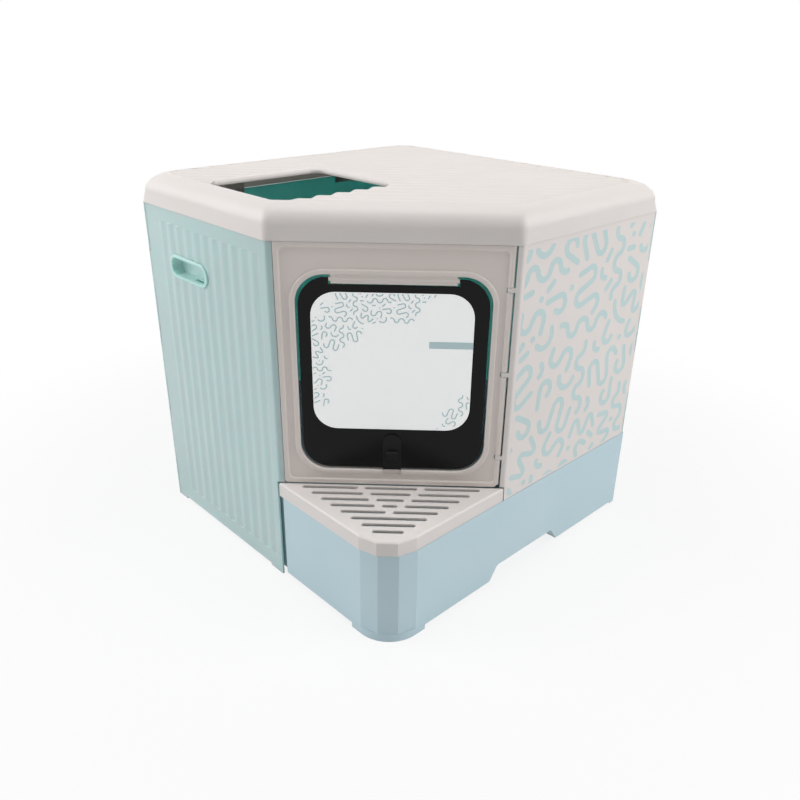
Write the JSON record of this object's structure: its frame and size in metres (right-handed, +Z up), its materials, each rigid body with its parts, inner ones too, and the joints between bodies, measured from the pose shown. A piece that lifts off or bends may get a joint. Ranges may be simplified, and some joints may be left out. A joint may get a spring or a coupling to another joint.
{
  "type": "foldable litter box",
  "caption": "Covered corner litter box with hinged fluted walls, a swinging flap in a diagonal front, a lift-off lid with a top entry and a pull-out tray with a grid step.",
  "frame": {"origin": "on the floor under the middle of the square plan", "axes": "+Z up; the tray pulls out along +X; the diagonal front faces +X -Y"},
  "size_m": [0.452, 0.4546, 0.4595],
  "materials": {
    "mint_plastic": "fine satin moulded polypropylene, pale mint",
    "printed_white_plastic": "satin off-white polypropylene with a pale blue print",
    "white_plastic": "satin off-white moulded polypropylene",
    "pale_blue_plastic": "satin pale blue moulded polypropylene",
    "smoked_plastic": "glossy smoked near-black sheet",
    "dark_plastic": "dark moulded plastic",
    "pin_plastic": "plain round rod"
  },
  "bodies": {
    "back_frame": {"left_back_wall": "mint_plastic", "left_hinge_pin": "pin_plastic", "back_hinge_pin": "pin_plastic"},
    "left_leaf": {"left_wall": "mint_plastic", "left_handle_cup": "mint_plastic"},
    "back_leaf": {"right_back_wall": "mint_plastic", "right_handle_cup": "mint_plastic", "right_hinge_pin": "pin_plastic"},
    "right_leaf": {"right_wall": "printed_white_plastic", "front_hinge_pin": "pin_plastic"},
    "front_door": {"front_panel": "white_plastic"},
    "door_flap": {"flap": "smoked_plastic"},
    "latch": {"flap_latch": "dark_plastic", "latch_retainer": "dark_plastic"},
    "lid_cover": {"lid": "white_plastic"},
    "drawer": {"tray": "pale_blue_plastic"},
    "step": {"step_grid": "white_plastic"}
  },
  "joints": [
    {"name": "left_leaf_hinge", "type": "hinge", "parent": "back_frame", "child": "left_leaf", "pos_m": [-0.2215, -0.2215, 0.2], "axis": [0, 0, -1], "range_deg": [0, 90]},
    {"name": "back_leaf_hinge", "type": "hinge", "parent": "back_frame", "child": "back_leaf", "pos_m": [-0.2215, 0.2215, 0.2], "axis": [0, 0, 1], "range_deg": [0, 90]},
    {"name": "right_leaf_hinge", "type": "hinge", "parent": "back_leaf", "child": "right_leaf", "pos_m": [0.2215, 0.2215, 0.27], "axis": [0, 0, 1], "range_deg": [0, 90]},
    {"name": "front_door_hinge", "type": "hinge", "parent": "right_leaf", "child": "front_door", "pos_m": [0.21531, -0.04174, 0.28], "axis": [0, 0, 1], "range_deg": [0, 90]},
    {"name": "flap_swing", "type": "hinge", "parent": "front_door", "child": "door_flap", "pos_m": [0.12906, -0.12799, 0.38365], "axis": [0.7071, 0.7071, 0], "range_deg": [-80, 80]},
    {"name": "latch_slide", "type": "slide", "parent": "door_flap", "child": "latch", "axis": [0, 0, 1], "range_m": [-0.004, 0]},
    {"name": "lid_lift", "type": "slide", "parent": "back_frame", "child": "lid_cover", "axis": [0, 0, 1], "range_m": [0, 0.08]},
    {"name": "tray_pull_out", "type": "slide", "parent": "back_frame", "child": "drawer", "axis": [1, 0, 0], "range_m": [0, 0.44]},
    {"name": "step_lift", "type": "slide", "parent": "drawer", "child": "step", "axis": [0, 0, 1], "range_m": [0, 0.025]}
  ]
}
